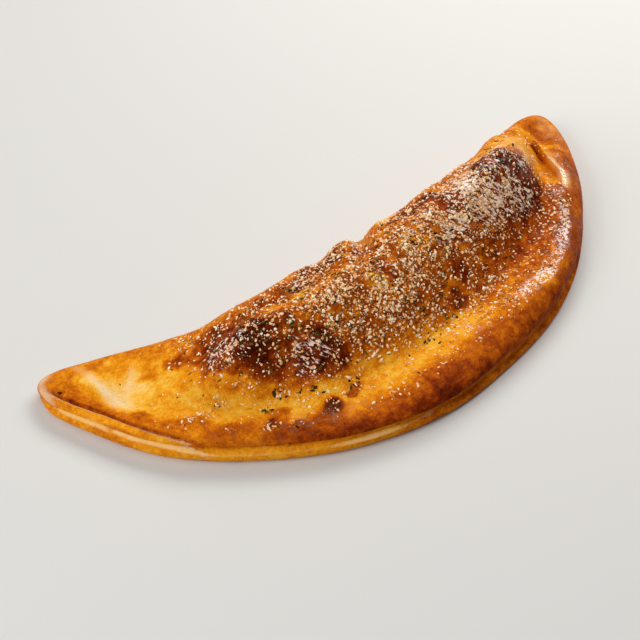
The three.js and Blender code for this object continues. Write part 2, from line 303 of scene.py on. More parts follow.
def creaseRelief(facts):    # outwards from the roll
    above, creased = facts["crease"]
    over = ease(above, -0.3, 0.5) * (1 - ease(above, 2, 9))
    return creased * (crease["step"] * over - crease["groove"] * bell(above, -0.6, 0.7))


def goldenFold(x, y):    # the smooth end of the folded edge, hardly browned
    border = 33 - 0.27 * (x - 78) - 0.004 * (x - 78) ** 2
    return ease(y - border, -5, 5) * ease(x, 66, 84) * (1 - ease(x, 150, 160))


def sampled(points, name):    # the noise of that name at each point, about -1 to 1
    seed, size = noises[name]
    shift = Vector((seed * 13.7, seed * 7.3, seed * 3.1))
    places = [Vector(p) / size + shift for p in points.reshape(-1, 3)]
    if name == "bubble":
        values = [max(0.0, 1 - noise.voronoi(p)[0][0] / 0.55) for p in places]
    else:
        values = [noise.fractal(p, 1.0, 2.0, 3) for p in places]
    return np.array(values).reshape(points.shape[:-1])


def gridNormals(points):
    along = np.roll(points, -1, axis=1) - np.roll(points, 1, axis=1)
    normal = np.cross(along, np.gradient(points, axis=0))
    return normal / np.maximum(np.linalg.norm(normal, axis=2, keepdims=True), 1e-9)


def crustGrid():
    outline, heart = outlineAndHeart()
    stations = dough["stationsPerSpan"] * len(outline)
    t = np.arange(stations) / stations
    edge, inner = loopPoint(outline, t), loopPoint(heart, t)
    length = np.linalg.norm(inner - edge, axis=1)
    inward = (inner - edge) / length[:, None]
    inset, height, edgeRings, share = section(t, edge[:, 0], length, ridgeHeight(inner[:, 0]))
    x = edge[:, 0] + inward[:, 0] * inset
    y = edge[:, 1] + inward[:, 1] * inset
    ring, last = np.arange(len(inset))[:, None], edgeRings - 1
    overRoll = ease(ring, skin["overRoll"][0] * last, skin["overRoll"][1] * edgeRings)
    above = blend(overRoll, ease(ring, skin["overFold"][0] * last, skin["overFold"][1] * last), share)
    flapped = flapPlace(x, y)
    swollen = sumOfHumps(x, y, reliefs) + flapRelief(*flapped)
    points = np.stack([x, y, height + above * swollen], axis=2)
    around = np.concatenate([np.full(seam["lipRings"], -90.0), np.linspace(*seam["rollTurn"], seam["rollRings"]),
                             np.full(dough["slopeRings"], 200.0)])[:, None]
    rimward = dough["radius"] - np.hypot(x - dough["centre"][0], y - dough["centre"][1])
    share = share + 0 * x
    facts = {"x": x, "y": y, "inset": inset, "ring": ring / edgeRings, "above": above, "share": share,
             "rimward": rimward, "stations": stations, "around": around + 0 * x,
             "flap": flapped, "crease": creasePlace(x, rimward, share)}
    return points, facts


# Browning of the crust, from 0, pale dough, to 1, nearly black. Pairs go from the blunt tip to the middle.
bake = {
    "face": (0.47, 0.70), "crest": (0.46, 0.56), "rimSpan": (-140, -90),    # of the rolled rim
    "curledCrest": 0.03, "curledSpan": (110, 150),
    "rightSpan": (25, 65),
    "golden": 0.24, "goldenMiddle": 0.08, "middleSpan": (0, 30), "goldenRight": 0.19,    # band inside the rim
    "bandReach": 24.0, "bandWider": 9.0, "bandSpan": (-90, -20),    # its middle, in from the rim
    "crown": 0.54, "crownRight": 0.03,
    "pad": 0.24, "padSpan": (-142, -116), "bluntEnd": 0.36, "bluntSpan": (-186, -176),
    "lip": (0.29, 0.47), "lipSpan": (-130, 10), "lipRight": 0.14, "lipRightSpan": (50, 110),
    "curledTip": 0.46, "goldenFold": 0.28,
    # A painted shadow darkens the gap under the flap's edge.
    # The flap's top is paler, with a painted highlight strip along its edge.
    "paleFlapTopAndSheen": -0.16, "underFlapShadow": 0.4,
    # Along the crease's groove the tone is darkened by a painted shade line.
    "besideCrease": 0.28, "crease": 0.18,
    "foldWall": 0.40,
    "waver": 3.5,    # millimetres by which the borders wander
    "mottle": 0.12, "fineMottle": 0.15,
}
# Humps that shift the even bake.
toastPatches = [
    (-88, 17, 16, 8, 0, 0.10),       # behind the left blister
    (-88, -50, 6, 4, 0, 0.30),       # spots on the rim
    (-66, -44, 3, 2.5, 0, 0.3),
    (-28, -74, 16, 5, 8, 0.14),      # underside of the rim
    (-75, -57, 9, 4, -15, -0.14),    # golden streaks on its crest
    (-42, -58, 10, 4, 0, -0.12),
    (66, -50, 18, 4, 14, -0.18),
    (98, -37, 22, 4, 32, -0.05),
    (52, -34, 16, 7, 0, 0.16),
    (118, 34, 16, 7, 20, -0.06),     # golden fold beside the flap
    (163, 45, 5, 11, 15, -0.14),     # hollow of the curled tip
    (176, 48, 3, 14, 8, 0.1),
    (186, 58, 4, 13, 10, -0.06),
    (-155, 34, 9, 12, -20, -0.16),   # dimple
    (-169, 38, 3.5, 19, 10, -0.20),  # floured streak
    (-175, 38, 3, 12, 10, 0.12),
    (-185, 43, 4, 9, 10, 0.12),
    (-183, 12, 3, 16, 28, 0.1),
]
# Spots that baked to a tone of their own.
toastSpots = [
    (48, -33, 22, 5, 0, 0.64), (58, -40, 10, 4, 0, 0.57), (84, -27, 18, 6, 14, 0.6), (100, -22, 9, 7, 20, 0.58),
    (94, -36, 9, 3, 25, 0.42), (152, 12, 4, 13, -20, 0.46), (0, -28, 12, 4, 0, 0.6), (5, 6, 5, 5, 0, 0.46),
    (-97, -6, 26, 13, -28, 0.7), (-72, 14, 26, 7, 5, 0.64), (82, 4, 30, 15, 0, 0.8), (62, 5, 20, 14, 0, 0.74),
    (-115, 12, 8, 10, 20, 0.78), (-106, 0, 9, 7, -20, 0.84), (-97, -8, 9, 6, -30, 0.78), (-92, 3, 8, 4, -10, 0.56),
    (-124, 22, 4, 6, 10, 0.66), (-134, 27, 4, 6, 20, 0.52), (-146, 35, 4, 6, 0, 0.38), (-165, 8, 5, 7, -20, 0.5),
    (-76, -27, 12, 6, -12, 0.92), (-66, -30, 7, 5, 0, 0.82), (-113, -41, 9, 4, -25, 0.62),
    (-111, -48, 10, 3, -20, 0.72), (-121, -3, 7, 1.8, -55, 0.32), (-112, -14, 8, 1.6, -50, 0.36),
    (-104, -37, 7, 5, -20, 0.2), (-90, -38, 9, 4, -5, 0.22), (-137, -28, 8, 5, -35, 0.52),
    (-148, -16, 6, 8, -35, 0.44), (-64, 4, 5, 4, 0, 0.26), (-80, 6, 6, 5, 0, 0.42), (-38, 9, 9, 7, -20, 0.5),
    (-50, 18, 5, 5, 0, 0.48), (-35, 22, 6, 4, 0, 0.33), (-25, 24, 4, 4, 0, 0.56), (-14, 18, 5, 5, 0, 0.48),
    (-25, -13, 6, 3.5, 0, 0.16), (-15, -12, 5, 4, -10, 0.68), (-5, -18, 4, 3.5, 0, 0.54), (-5, 0, 5, 5, 0, 0.58),
    (-42, -27, 15, 6, -8, 0.57), (-52, -38, 9, 3, 0, 0.3), (6, 15, 6, 5, 0, 0.37), (14, 26, 7, 3, 0, 0.06),
    (16, 9, 4, 6, 0, 0.5), (14, -4, 4, 5, 0, 0.46), (17, -19, 5, 4, 0, 0.56), (27, -11, 5, 3.5, 0, 0.6),
    (37, -12, 6, 3.5, -10, 0.72), (46, -13, 5, 3, 0, 0.66), (26, -25, 6, 4, 0, 0.76), (17, -35, 6, 3.5, 0, 0.76),
    (37, 14, 7, 8, 0, 0.54), (46, 9, 4, 9, 0, 0.66), (65, -22, 20, 7, 0, 0.66), (96, -17, 17, 6, 10, 0.67),
    (55, 18, 4, 5, 0, 0.34), (70, 18, 7, 5, 0, 0.38), (90, 14, 13, 6, -20, 0.8), (83, 25, 4, 3, 0, 0.12),
    (109, 2, 6, 7, 0, 0.7), (113, -9, 7, 8, 0, 0.7), (104, 0, 9, 9, 0, 0.84), (80, 14, 8, 4, -30, 0.86),
    (99, 15, 9, 5, -15, 0.86), (112, 4, 6, 8, 0, 0.78), (120, -22, 8, 4, 50, 0.4), (125, 0, 4, 11, -10, 0.34),
    (136, -14, 4, 6, -30, 0.42), (-39, 20, 15, 5.5, 5, 0.76), (33, 19, 17, 6, 0, 0.8), (-100, -4, 9, 7, -20, 0.9),
    (-108, 22, 7, 10, 20, 0.72), (46, 9, 8, 8, 0, 0.76), (124, -12, 11, 18, -25, 0.6), (150, 0, 6, 24, -22, 0.57),
    (165, 48, 6, 17, 15, 0.29), (-75, -22, 9, 7, -15, 0.84), (-99, -3, 8, 7, -20, 0.95), (-111, 15, 6, 7, 0, 0.72),
    (45, 11, 7, 9, 0, 0.84), (81, 12, 6, 4, 0, 0.86), (106, -1, 6, 6, 0, 0.84), (94, -7, 7, 4, 0, 0.8),
    (-111, -36, 6, 4, 0, 0.52), (-84, -12, 9, 5, -15, 0.66), (108, -30, 14, 7, 36, 0.64), (173, 36, 5, 14, 12, 0.48),
    (50, -38, 26, 7, 5, 0.52), (-115, -38, 3, 3, 0, 0.8), (-84, -49, 4, 5, -30, 0.84), (-70, -47, 3, 3, 0, 0.66),
    (-104, -46, 4, 2, 0, 0.66), (-128, 28, 6, 4.5, 25, 0.58), (-119, 25, 7, 5, 20, 0.66), (-111, 21, 7, 6, 0, 0.76),
]


def rimTone(facts, x, y, rimward):    # from the rim's face over its crest and the golden band to the crown
    towardsMiddle, right = ease(x, *bake["rimSpan"]), ease(x, *bake["rightSpan"])
    face = blend(*bake["face"], towardsMiddle)
    crest = blend(*bake["crest"], towardsMiddle) - bake["curledCrest"] * ease(x, *bake["curledSpan"])
    golden = bake["golden"] + bake["goldenMiddle"] * ease(x, *bake["middleSpan"]) + bake["goldenRight"] * right
    crown = bake["crown"] + bake["crownRight"] * right
    band = bake["bandReach"] + bake["bandWider"] * ease(x, *bake["bandSpan"])
    tone = blend(face, crest, ease(rimward, 3, 13))
    tone = blend(tone, golden, ease(rimward, band - 13, band - 1))
    tone = blend(tone, crown, ease(rimward, band + 4, band + 20))
    tone = blend(tone, bake["pad"], (1 - ease(x, *bake["padSpan"])) * ease(rimward, 11, 19))
    tone = blend(tone, bake["bluntEnd"], (1 - ease(x, *bake["bluntSpan"])) * ease(rimward, 8, 14))
    lipTone = blend(*bake["lip"], ease(x, *bake["lipSpan"])) + bake["lipRight"] * ease(x, *bake["lipRightSpan"])
    tone = blend(lipTone, tone, ease(facts["around"], -30, 0))
    tone = blend(tone, bake["curledTip"], ease(x + 0.45 * (y - 20), 148, 174))
    return blend(tone, bake["goldenFold"], goldenFold(x, y))


def toastOf(facts, points):
    waverX, waverY = (sampled(points, name) * bake["waver"] for name in ("waverX", "waverY"))
    x, y = facts["x"] + waverX, facts["y"] + waverY
    tone = rimTone(facts, x, y, facts["rimward"] + 0.6 * waverX)
    behind, along = facts["flap"]
    # paler top of the flap, with a painted highlight strip along its edge
    paleFlapTopAndSheen = ease(behind, -0.5, 1) * (1 - ease(behind, 4, 10)) * ease(along, 0.2, 0.45)
    # painted shadow in the gap under the flap's edge
    flapShadow = bell(behind, -1.3, 1.2) * ease(along, 0.1, 0.2) * (1 - ease(along, 0.4, 0.6))
    tone += bake["underFlapShadow"] * flapShadow + bake["paleFlapTopAndSheen"] * paleFlapTopAndSheen
    above, creased = facts["crease"]
    tone = blend(tone, bake["besideCrease"], creased * ease(above, -9, -6) * (1 - ease(above, -1.6, -0.6)))
    # a painted shade line in the crease's groove
    tone += bake["crease"] * creased * bell(above, -0.1, 0.7)
    tone = blend(tone, bake["foldWall"], facts["share"] * (1 - ease(facts["ring"], 0.75, 1.1)))
    mottle = sum(bake[name] * sampled(points, name) for name in ("mottle", "fineMottle"))
    mottle *= blend(0.6, 1, ease(facts["rimward"], 18, 36))
    mottle *= blend(0.75, 1.35, ease(tone, 0.3, 0.6))
    tone = tone + sumOfHumps(x, y, toastPatches)
    for *spot, own in toastSpots:
        tone = blend(tone, own, ease(hump(x, y, *spot), 0.3, 0.8))
    return np.clip(tone + mottle, 0, 1)


# Where melted butter shines most.
butterPatches = [
    (70, -50, 11, 3.2, 0, 1.1), (52, -52, 6, 2.2, 0, 1), (90, -43, 10, 2.6, 10, 1), (104, -33, 9, 4.5, 30, 1),
    (119, -22, 7, 6, 50, 1), (131, -1, 4, 5, -20, 1), (143, 1, 5, 5, 30, 1), (110, 16, 12, 6, 20, 1.1),
    (-60, 14, 2, 6, -30, 0.8), (24, 8, 3.5, 6, -25, 0.9), (6, 1.5, 6, 1.5, 0, 0.8), (-87, -23, 3, 5, 30, 0.8),
    (-74, -23, 6, 1.2, -40, 0.9), (-171, 33, 2.2, 7, 0, 0.6), (-156, 38, 3, 5, 20, 0.6), (10, -53, 7, 3, -15, 0.6),
    (70, 6, 30, 9, 4, 0.5), (100, 22, 14, 5, 20, 0.9), (86, 26, 10, 5, 0, 0.7), (176, 30, 6, 14, 30, 0.3),
    (-140, -26, 22, 5, -38, 0.2), (155, 18, 4, 11, -25, 0.7),
]
# Melted shreds of cheese under a glaze, drawn out down the slope, with painted highlights of the glaze in their pale
# pink colour.
shredsAndSheenPatches = [
    (60, 11, 10, 8, 0, 1), (66, -3, 17, 5.5, 0, 1), (90, 0, 14, 3.5, 0, 1), (106, 15, 8, 3, -25, 0.8),
    (92, 12, 5.5, 1.4, -50, 0.9), (44, 17, 3, 5, 0, 0.6), (36, -9, 10, 4, 0, 0.6), (18, 26, 7, 3, 0, 0.5),
    (-59, 12, 2.5, 7, -10, 0.5), (-12, -12, 10, 4, 0, 0.45), (84, 24, 6, 2.5, 0, 0.4), (-114, 4, 8, 6, -20, 0.75),
    (-82, -22, 4, 5.5, -20, 1), (-73, -25, 6, 2, -40, 0.8), (69, 31, 5, 3, 0, 0.7),
]
drawnAxis = Vector((0.6, -0.5, -0.62)).normalized()
drawnShare = 0.72    # by which lengths along that axis shrink in noise, so that it streaks
# Flour and dry dough, and pale edges; some patches are painted highlights and sheen: on the dimple, the crown, the
# right rim past the flap and the front rim.
flourAndSheenPatches = [
    (-197, 52, 2.4, 8, 0, 0.9), (-196, 62, 2.6, 6, -20, 0.8), (-190, 69, 4, 2.4, 15, 0.9), (-170, 50, 2, 6, 5, 0.8),
    (-171, 38, 1.8, 8, 0, 1), (-168, 26, 1.8, 5, 20, 0.8), (-173, 64, 2, 5, 0, 0.5), (-153.5, 40, 2, 8, -36, 0.75),
    (-158, 35, 5, 4, 0, 0.4), (-167, 33, 3, 7, 10, 0.5), (142, 2, 3, 5, -20, 0.7), (147, 8, 3, 4, 30, 0.6),
    (-64, 12, 3, 5, -30, 0.5), (183, 54, 6, 18, -12, 0.5), (-92, -50, 24, 5, -18, 0.3),
]


def drawnOut(points):
    axis = np.array(drawnAxis)
    return points - drawnShare * (points @ axis)[..., None] * axis


def glossOf(facts, lip):
    field = 0.06 + sumOfHumps(facts["x"], facts["y"], butterPatches)
    behind, along = facts["flap"]
    field += 1.2 * ease(behind, -0.5, 0.5) * (1 - ease(behind, 3, 7)) * ease(along, 0.4, 0.6) * (along < 0.99)
    above, creased = facts["crease"]
    field += 1.2 * creased * bell(above, -1.4, 0.8)
    return np.clip(field * (1 - 0.7 * lip) * ease(facts["x"], -200, -180), 0, 1)


def shredsAndSheenOf(facts):
    return np.clip(sumOfHumps(facts["x"], facts["y"], shredsAndSheenPatches), 0, 1)


def flourAndSheenOf(facts, points):    # with painted highlights along the flap's edge and below the crease, in the same pale colour
    behind, along = facts["flap"]
    # painted highlight strips along the flap's edge and just below the crease
    edge = ease(behind, -0.5, 0.5) * (1 - ease(behind, 2, 4.5)) * ease(along, 0.45, 0.6) * (1 - ease(along, 0.93, 1))
    above, creased = facts["crease"]
    dustedAndSheen = sumOfHumps(facts["x"], facts["y"], flourAndSheenPatches) * ease(points[..., 2], 6, 10)
    return dustedAndSheen + (0.9 * edge + 0.9 * creased * bell(above, -1.4, 0.6))


# Pale, hardly baked strip along the edge of the bottom sheet, at stations along X.
strip = {
    "middleAt": (-196, -185, -164, -150, -100), "middle": (7.5, 9.2, 9.0, 6.8, 7.0),
    "halfAt": (-196, -185, -164, -150, -100, -75, -50, 20), "half": (0.5, 1.9, 1.5, 0.8, 0.6, 1.3, 0.6, 0.6),
    "strengthAt": (-200, -194, -183, -181, -179, -160, -146, -100, -88, -66, -52, 40, 80),
    "strength": (0, 0.9, 1, 0.4, 0.9, 1, 0.6, 0.45, 0.9, 0.9, 0.5, 0.4, 0),
}


def lipOf(facts, points):
    middle, half, strength = (np.interp(facts["x"], strip[name + "At"], strip[name])
                              for name in ("middle", "half", "strength"))
    pale = 1 - ease(np.abs(points[..., 2] - middle), 0.2 * half, half + 0.7)
    return pale * strength * (facts["inset"] < 7) * (1 - facts["share"])


# Where more cheese fell, and where crust shows through it.
cheesePatches = [
    (-98, -8, 24, 10, -28, 0.2), (-70, -26, 14, 9, 0, 0.1), (118, -20, 16, 10, 40, 0.3), (130, -4, 9, 18, -20, 0.35),
    (112, -38, 16, 5, 38, 0.25), (-141, -10, 8, 2.6, 0, 0.8), (-119, -41, 4, 5, -30, 0.6),
    (-106, -48, 6, 2.5, 0, 0.4), (-137, -30, 5, 4, 0, 0.3), (36, -50, 6, 3, 0, 0.5), (18, -52, 5, 2.5, 0, 0.4),
    (-52, -62, 4, 2, 0, 0.4), (30, -40, 34, 7, 4, 0.12), (-80, -40, 16, 4, -10, 0.15), (80, 2, 26, 8, 0, 0.35),
    (20, -12, 32, 9, 0, 0.2), (66, -50, 16, 4, 10, 0.5), (112, -30, 18, 5, 36, 0.5), (-45, 12, 20, 12, 0, 0.2),
    (40, -38, 26, 7, 6, 0.2), (25, 12, 6, 8, 0, 0.3), (140, 4, 14, 5, 52, 0.25),
]
bareSpots = [
    (20, -33, 9, 6, 0, 0.8), (100, 24, 16, 5, -8, 0.7), (58, -23, 22, 5, 0, 0.6), (40, 12, 9, 8, 0, 0.7),
    (90, 13, 14, 4.5, -20, 0.9), (36, -12, 7, 4, 0, 0.8), (15, 5, 4, 8, 0, 0.7), (17, -19, 6, 4, 0, 0.6),
    (-36, 6, 6, 7, 0, 0.7), (-15, -13, 6, 4, 0, 0.8), (-115, 13, 6, 8, 20, 0.7), (-76, -27, 8, 5, -12, 0.7),
    (0, -28, 12, 4, 0, 0.5), (108, -6, 6, 8, 0, 0.5),
]
dusting = {    # of cheese, in shares of its full density; a reach is counted in from the rim
    "crownReach": (36, 62), "crownSpan": (-140, -105), "left": 0.42, "more": 0.58, "moreSpan": (-85, -35),
    "lessOnFold": 0.93, "uneven": 1.2, "fineUneven": 1.4, "most": 2.6,
    "stray": 0.13, "strayReach": (9, 24), "straySpan": (-140, -100), "clusters": 2.6, "least": 0.02,
}


def cheeseOf(facts, points):
    x, y, rimward = facts["x"], facts["y"], facts["rimward"]
    crown = ease(rimward, *dusting["crownReach"]) * ease(x, *dusting["crownSpan"]) * (1 - ease(x + 0.4 * y, 136, 146))
    thick = dusting["left"] + dusting["more"] * ease(x, *dusting["moreSpan"])
    covered = (crown * thick + sumOfHumps(x, y, cheesePatches)) * (1 - dusting["lessOnFold"] * goldenFold(x, y))
    uneven = 1 + dusting["uneven"] * sampled(points, "dusting")
    uneven = uneven + dusting["fineUneven"] * sampled(points, "fineDusting")
    bare = np.clip(sumOfHumps(x, y, bareSpots), 0, 1)
    strays = dusting["stray"] * ease(rimward, *dusting["strayReach"]) * ease(x, *dusting["straySpan"])
    strays = strays * (1 - 0.5 * ease(x, -30, 30) * (1 - ease(x, 40, 90)))
    clusters = np.clip(1 + dusting["clusters"] * sampled(points, "strays"), 0, 3)
    field = covered * np.clip(uneven, 0.05, dusting["most"]) * (1 - bare) + strays * clusters + dusting["least"]
    normal = gridNormals(points)
    upward = ease(normal[..., 2], 0.05, 0.35) * (1 - 0.7 * ease(normal[..., 1], 0.15, 0.6))
    return field * upward * (facts["ring"] > blend(0.9, 0.6, facts["share"])) * ease(x, -185, -150)


sprinkling = {    # of herbs, likewise
    "crownReach": (25, 55), "crownSpan": (-150, -100), "right": 0.4, "left": 0.6, "leftSpan": (10, 60),
    "busier": 1.2, "busySpot": (-62, 2, 34, 15, 0), "uneven": 1.3, "clump": 8, "least": 0.03,
    "clumps": (
        (-64, -43), (-108, -47), (-85, -47), (-138, 43), (-153, 58), (-103, -25), (-100, -23), (-111, -28),
        (-85, -34), (-92, -31), (-130, -10), (-7, -34), (-99, 11), (5, -39), (-34, -58), (-41, 16), (-79, 12),
        (-88, -53), (-55, 8), (-67, 18),
    ),
}


def herbOf(facts, points):
    x, y, rimward = facts["x"], facts["y"], facts["rimward"]
    crown = ease(rimward, *sprinkling["crownReach"]) * ease(x, *sprinkling["crownSpan"]) * (1 - ease(x, 120, 140))
    left = sprinkling["right"] + sprinkling["left"] * (1 - ease(x, *sprinkling["leftSpan"]))
    busier = sprinkling["busier"] * hump(x, y, *sprinkling["busySpot"])
    patchy = np.clip(1 + sprinkling["uneven"] * sampled(points, "herbs"), 0.05, 2.5)
    clumps = sum(hump(x, y, *spot, 1.7, 1.0, 25 * k) for k, spot in enumerate(sprinkling["clumps"]))
    spread = crown * (0.65 * left + busier) * patchy + sprinkling["least"] + sprinkling["clump"] * clumps
    return spread * ease(gridNormals(points)[..., 2], 0.15, 0.6) * (facts["ring"] > 0.9)


def relieve(points, facts, toast):
    def relief(share, name):
        return share * skin[name] * sampled(points, name)

    above = blend(0.25, 1, facts["above"])
    browned = ease(toast, 0.45, 0.8) * facts["above"]
    move = relief(above, "sag")
    move += relief(facts["above"] * blend(0.35, 1, browned), "puff")
    move += relief(browned, "bubble")
    move += relief(browned, "crackle")
    move += relief(above, "grain")
    move += skin["frost"] * shredsAndSheenOf(facts) * sampled(drawnOut(points), "frost")
    points = points + gridNormals(points) * (move + creaseRelief(facts))[..., None]
    points[0, :, 2] = 0
    points[..., 2] = np.maximum(points[..., 2], 0)
    return points


def closedFaces(rings, stations):
    ring, k = np.meshgrid(np.arange(rings - 1), np.arange(stations), indexing="ij")
    low, after = ring * stations + k, ring * stations + (k + 1) % stations
    faces = np.stack([low, after, after + stations, low + stations], axis=2).reshape(-1, 4).tolist()
    top = (rings - 1) * stations
    for k in range(stations // 2):    # ladders over the ridge and across the underside
        far, near = (stations - k - 1) % stations, (stations - k) % stations
        ladder = [k, k + 1] + [i for i in (far, near) if i not in (k, k + 1)]
        faces.append([top + i for i in ladder])
        faces.append(ladder[::-1])
    return faces


def srgb(red, green, blue):
    return tuple(((c / 255 + 0.055) / 1.055) ** 2.4 if c > 10 else c / 3295 for c in (red, green, blue)) + (1.0,)


class Wire:    # a socket that takes part in sums
    def __init__(self, graph, socket):
        self.graph, self.socket = graph, socket

    def __add__(self, other):
        return self.graph.maths("ADD", self, other)

    def __sub__(self, other):
        return self.graph.maths("SUBTRACT", self, other)

    def __rsub__(self, other):
        return self.graph.maths("SUBTRACT", other, self)

    def __mul__(self, other):
        return self.graph.maths("MULTIPLY", self, other)

    def __pow__(self, other):
        return self.graph.maths("POWER", self, other)

    __radd__, __rmul__ = __add__, __mul__


class Graph:    # adds nodes to a shader or geometry tree
    def __init__(self, tree):
        self.tree = tree

    def node(self, kind, settings=None, values=None, output=0):    # several outputs come back as a list
        made = self.tree.nodes.new(kind)
        made.location = (180 * len(self.tree.nodes), 0)
        for name, value in (settings or {}).items():
            if name == "stops":
                self.setStops(made.color_ramp, value)
            else:
                setattr(made, name, value)
        for name, value in (values or {}).items():
            self.feed(made.inputs[name], value)
        if isinstance(output, tuple):
            return [Wire(self, made.outputs[one]) for one in output]
        return Wire(self, made.outputs[output]) if len(made.outputs) else made

    def feed(self, socket, value):    # a constant, a wire or a list of wires
        if isinstance(value, (Wire, list)):
            for wire in value if isinstance(value, list) else [value]:
                self.tree.links.new(wire.socket, socket)
        else:
            socket.default_value = value

    def setStops(self, ramp, stops):
        while len(ramp.elements) < len(stops):
            ramp.elements.new(0.5)
        for element, (spot, colour) in zip(ramp.elements, stops):
            element.position, element.color = spot, srgb(*colour)

    def maths(self, operation, a, b):
        return self.node("ShaderNodeMath", {"operation": operation}, {0: a, 1: b})

    def vectors(self, operation, a, b, socket=1, output=0):
        return self.node("ShaderNodeVectorMath", {"operation": operation}, {0: a, socket: b}, output)

    def between(self, value, low, high):    # 0 at low, smoothly up to 1 at high
        settings = {"interpolation_type": "SMOOTHSTEP"}
        return self.node("ShaderNodeMapRange", settings, {"Value": value, "From Min": low, "From Max": high})

    def colours(self, share, a, b):
        return self.node("ShaderNodeMix", {"data_type": "RGBA"}, {0: share, 6: a, 7: b}, output=2)

    def ramp(self, stops, value):
        return self.node("ShaderNodeValToRGB", {"stops": stops}, {"Fac": value})

    def attribute(self, name):
        return self.node("ShaderNodeAttribute", {"attribute_name": name}, output="Fac")

    def place(self):
        return self.node("ShaderNodeTexCoord", output="Object")

    def fractal(self, place, size, detail=3.0, rough=0.55, warp=0.0):
        values = {"Vector": place, "Scale": 1 / (size * mm), "Detail": detail, "Roughness": rough, "Distortion": warp}
        return self.node("ShaderNodeTexNoise", {}, values)

    def cells(self, place, size, feature="F1"):
        return self.node("ShaderNodeTexVoronoi", {"feature": feature}, {"Vector": place, "Scale": 1 / (size * mm)})

    def bump(self, height, look):
        return self.node("ShaderNodeBump", {}, {"Strength": look["bump"], "Distance": look["bumpHeight"] * mm,
                                                "Height": height})


def newMaterial(name, constants):
    material = bpy.data.materials.new(name)
    material.use_nodes = True
    graph, sockets = Graph(material.node_tree), material.node_tree.nodes["Principled BSDF"].inputs
    for socket, value in constants.items():
        graph.feed(sockets[socket], value)
    return material, graph, sockets


crustLook = {    # sizes in millimetres
    "bake": [(0.00, (248, 208, 128)), (0.15, (248, 184, 54)), (0.30, (236, 148, 20)), (0.45, (204, 108, 12)),
             (0.60, (166, 73, 8)), (0.75, (124, 42, 4)), (0.88, (86, 23, 2)), (1.00, (54, 12, 2))],
    "pores": ((130, 52, 8), 0.18),    # each coat: its colour, and how much it covers at most
    # painted shade in the gaps between cheese crumbs
    "crumbShade": ((96, 34, 8), 0.75),
    "char": ((44, 14, 6), 0.5),
    "lip": ((254, 208, 132), 0.85),
    # pale flour, also used for painted highlights and sheen
    "flour": ((246, 218, 178), 0.6),
    "melted": ((246, 208, 160), 0.75),
    # pale pink shreds, partly painted glaze highlights
    "frost": ((255, 224, 206), 0.95),
    "broad": (8, 4, 0.6), "fine": (2.0, 3, 0.6), "tiny": (0.7, 2, 0.5), "streak": (1.5, 2, 0.5, 0.4),    # noises
    "poreSize": 1.9, "gapSize": 1.5, "freckleSize": 6.5, "blisterSize": 2.6,
    "roughness": 0.40, "bump": 0.8, "bumpHeight": 0.7,
}


def crustMaterial():
    constants = {"IOR": 1.45, "Coat Roughness": 0.22, "Coat IOR": 1.9, "Specular IOR Level": 0.02}
    material, graph, sockets = newMaterial("bakedCrust", constants)
    between, cells, place = graph.between, graph.cells, graph.place()
    toast, lip, flour, gloss, cheese, frost = (
        graph.attribute(name) for name in ("toast", "lip", "flour", "gloss", "cheese", "frost"))
    broad, fine, tiny = (graph.fractal(place, *crustLook[name]) for name in ("broad", "fine", "tiny"))
    broadly, finely, tinily = broad - 0.5, fine - 0.5, tiny - 0.5    # the same, about zero
    busy = between(cheese, 0.2, 0.9)
    pores = between(cells(place, crustLook["poreSize"]), 0.30, 0.12)
    # painted shade between the cheese crumbs
    crumbShade = between(cells(place, crustLook["gapSize"]) + finely * 0.8, 0.52, 0.70) * busy
    freckles = between(cells(place, crustLook["freckleSize"]), 0.13, 0.06) * between(toast, 0.15, 0.5)
    bare = between(lip + broadly * 1.1 + finely * 0.5, 0.25, 0.95)
    # flour, and painted highlights and sheen in its colour
    dustedAndSheen = between(flour + finely * 1.0 + broadly * 0.8, 0.15, 1.2)
    melted = between(finely * 2.4 + tinily * 1.6 + busy * 0.15, 0.42, 0.68) * busy
    along = graph.vectors("DOT_PRODUCT", place, drawnAxis, output="Value")
    pulled = graph.vectors("SCALE", drawnAxis, along * drawnShare, socket="Scale")
    streaks = graph.fractal(graph.vectors("SUBTRACT", place, pulled), *crustLook["streak"])
    pull = frost * 0.55 + (streaks - 0.5) * 3.5 + broadly * 2.0
    # melted shreds and painted glaze highlights, streaked down the slope
    shredsAndSheenShare = between(pull, 0.42, 0.66) * between(frost, 0.15, 0.4)
    shade = toast + broadly * 0.26 + finely * (busy * 0.40 + 0.30) + tinily * (busy * 0.3 + 0.24)
    colour = graph.ramp(crustLook["bake"], shade)
    coats = {"pores": pores, "crumbShade": crumbShade, "char": freckles, "lip": bare, "flour": dustedAndSheen, "melted": melted,
             "frost": shredsAndSheenShare}
    for name, share in coats.items():
        tint, cover = crustLook[name]
        colour = graph.colours(share * cover, colour, srgb(*tint))
    graph.feed(sockets["Base Color"], colour)
    roughness = crustLook["roughness"] + broadly * 0.3 + finely * 0.2 + dustedAndSheen * 0.4 + lip * 0.18 - gloss * 0.08
    graph.feed(sockets["Roughness"], roughness)
    glints = between(fine + tinily * 0.5 + gloss * 0.05, 0.51, 0.60)
    butter = between(broad + finely * 0.6 + gloss * 0.5, 0.62, 0.90) * glints * gloss
    graph.feed(sockets["Coat Weight"], butter + shredsAndSheenShare * 0.4)
    blisters = cells(place, crustLook["blisterSize"], "SMOOTH_F1") * 0.6 * between(toast, 0.3, 0.7)
    height = fine * 1.2 + tiny * 0.7 + shredsAndSheenShare * 0.8 - blisters - pores * 0.25 - crumbShade * 0.5
    graph.feed(sockets["Normal"], graph.bump(height, crustLook))
    return material


def shiftToFrame(points):    # the crust's box takes the place of the node's box
    nodeMiddle = np.mean(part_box("calzone"), axis=0)
    middle = (points.min(axis=(0, 1)) + points.max(axis=(0, 1))) / 2
    return (nodeMiddle - middle) * (1, 1, 0)


def inScene(name, data):
    made = bpy.data.objects.new(name, data)
    scene.collection.objects.link(made)
    return made


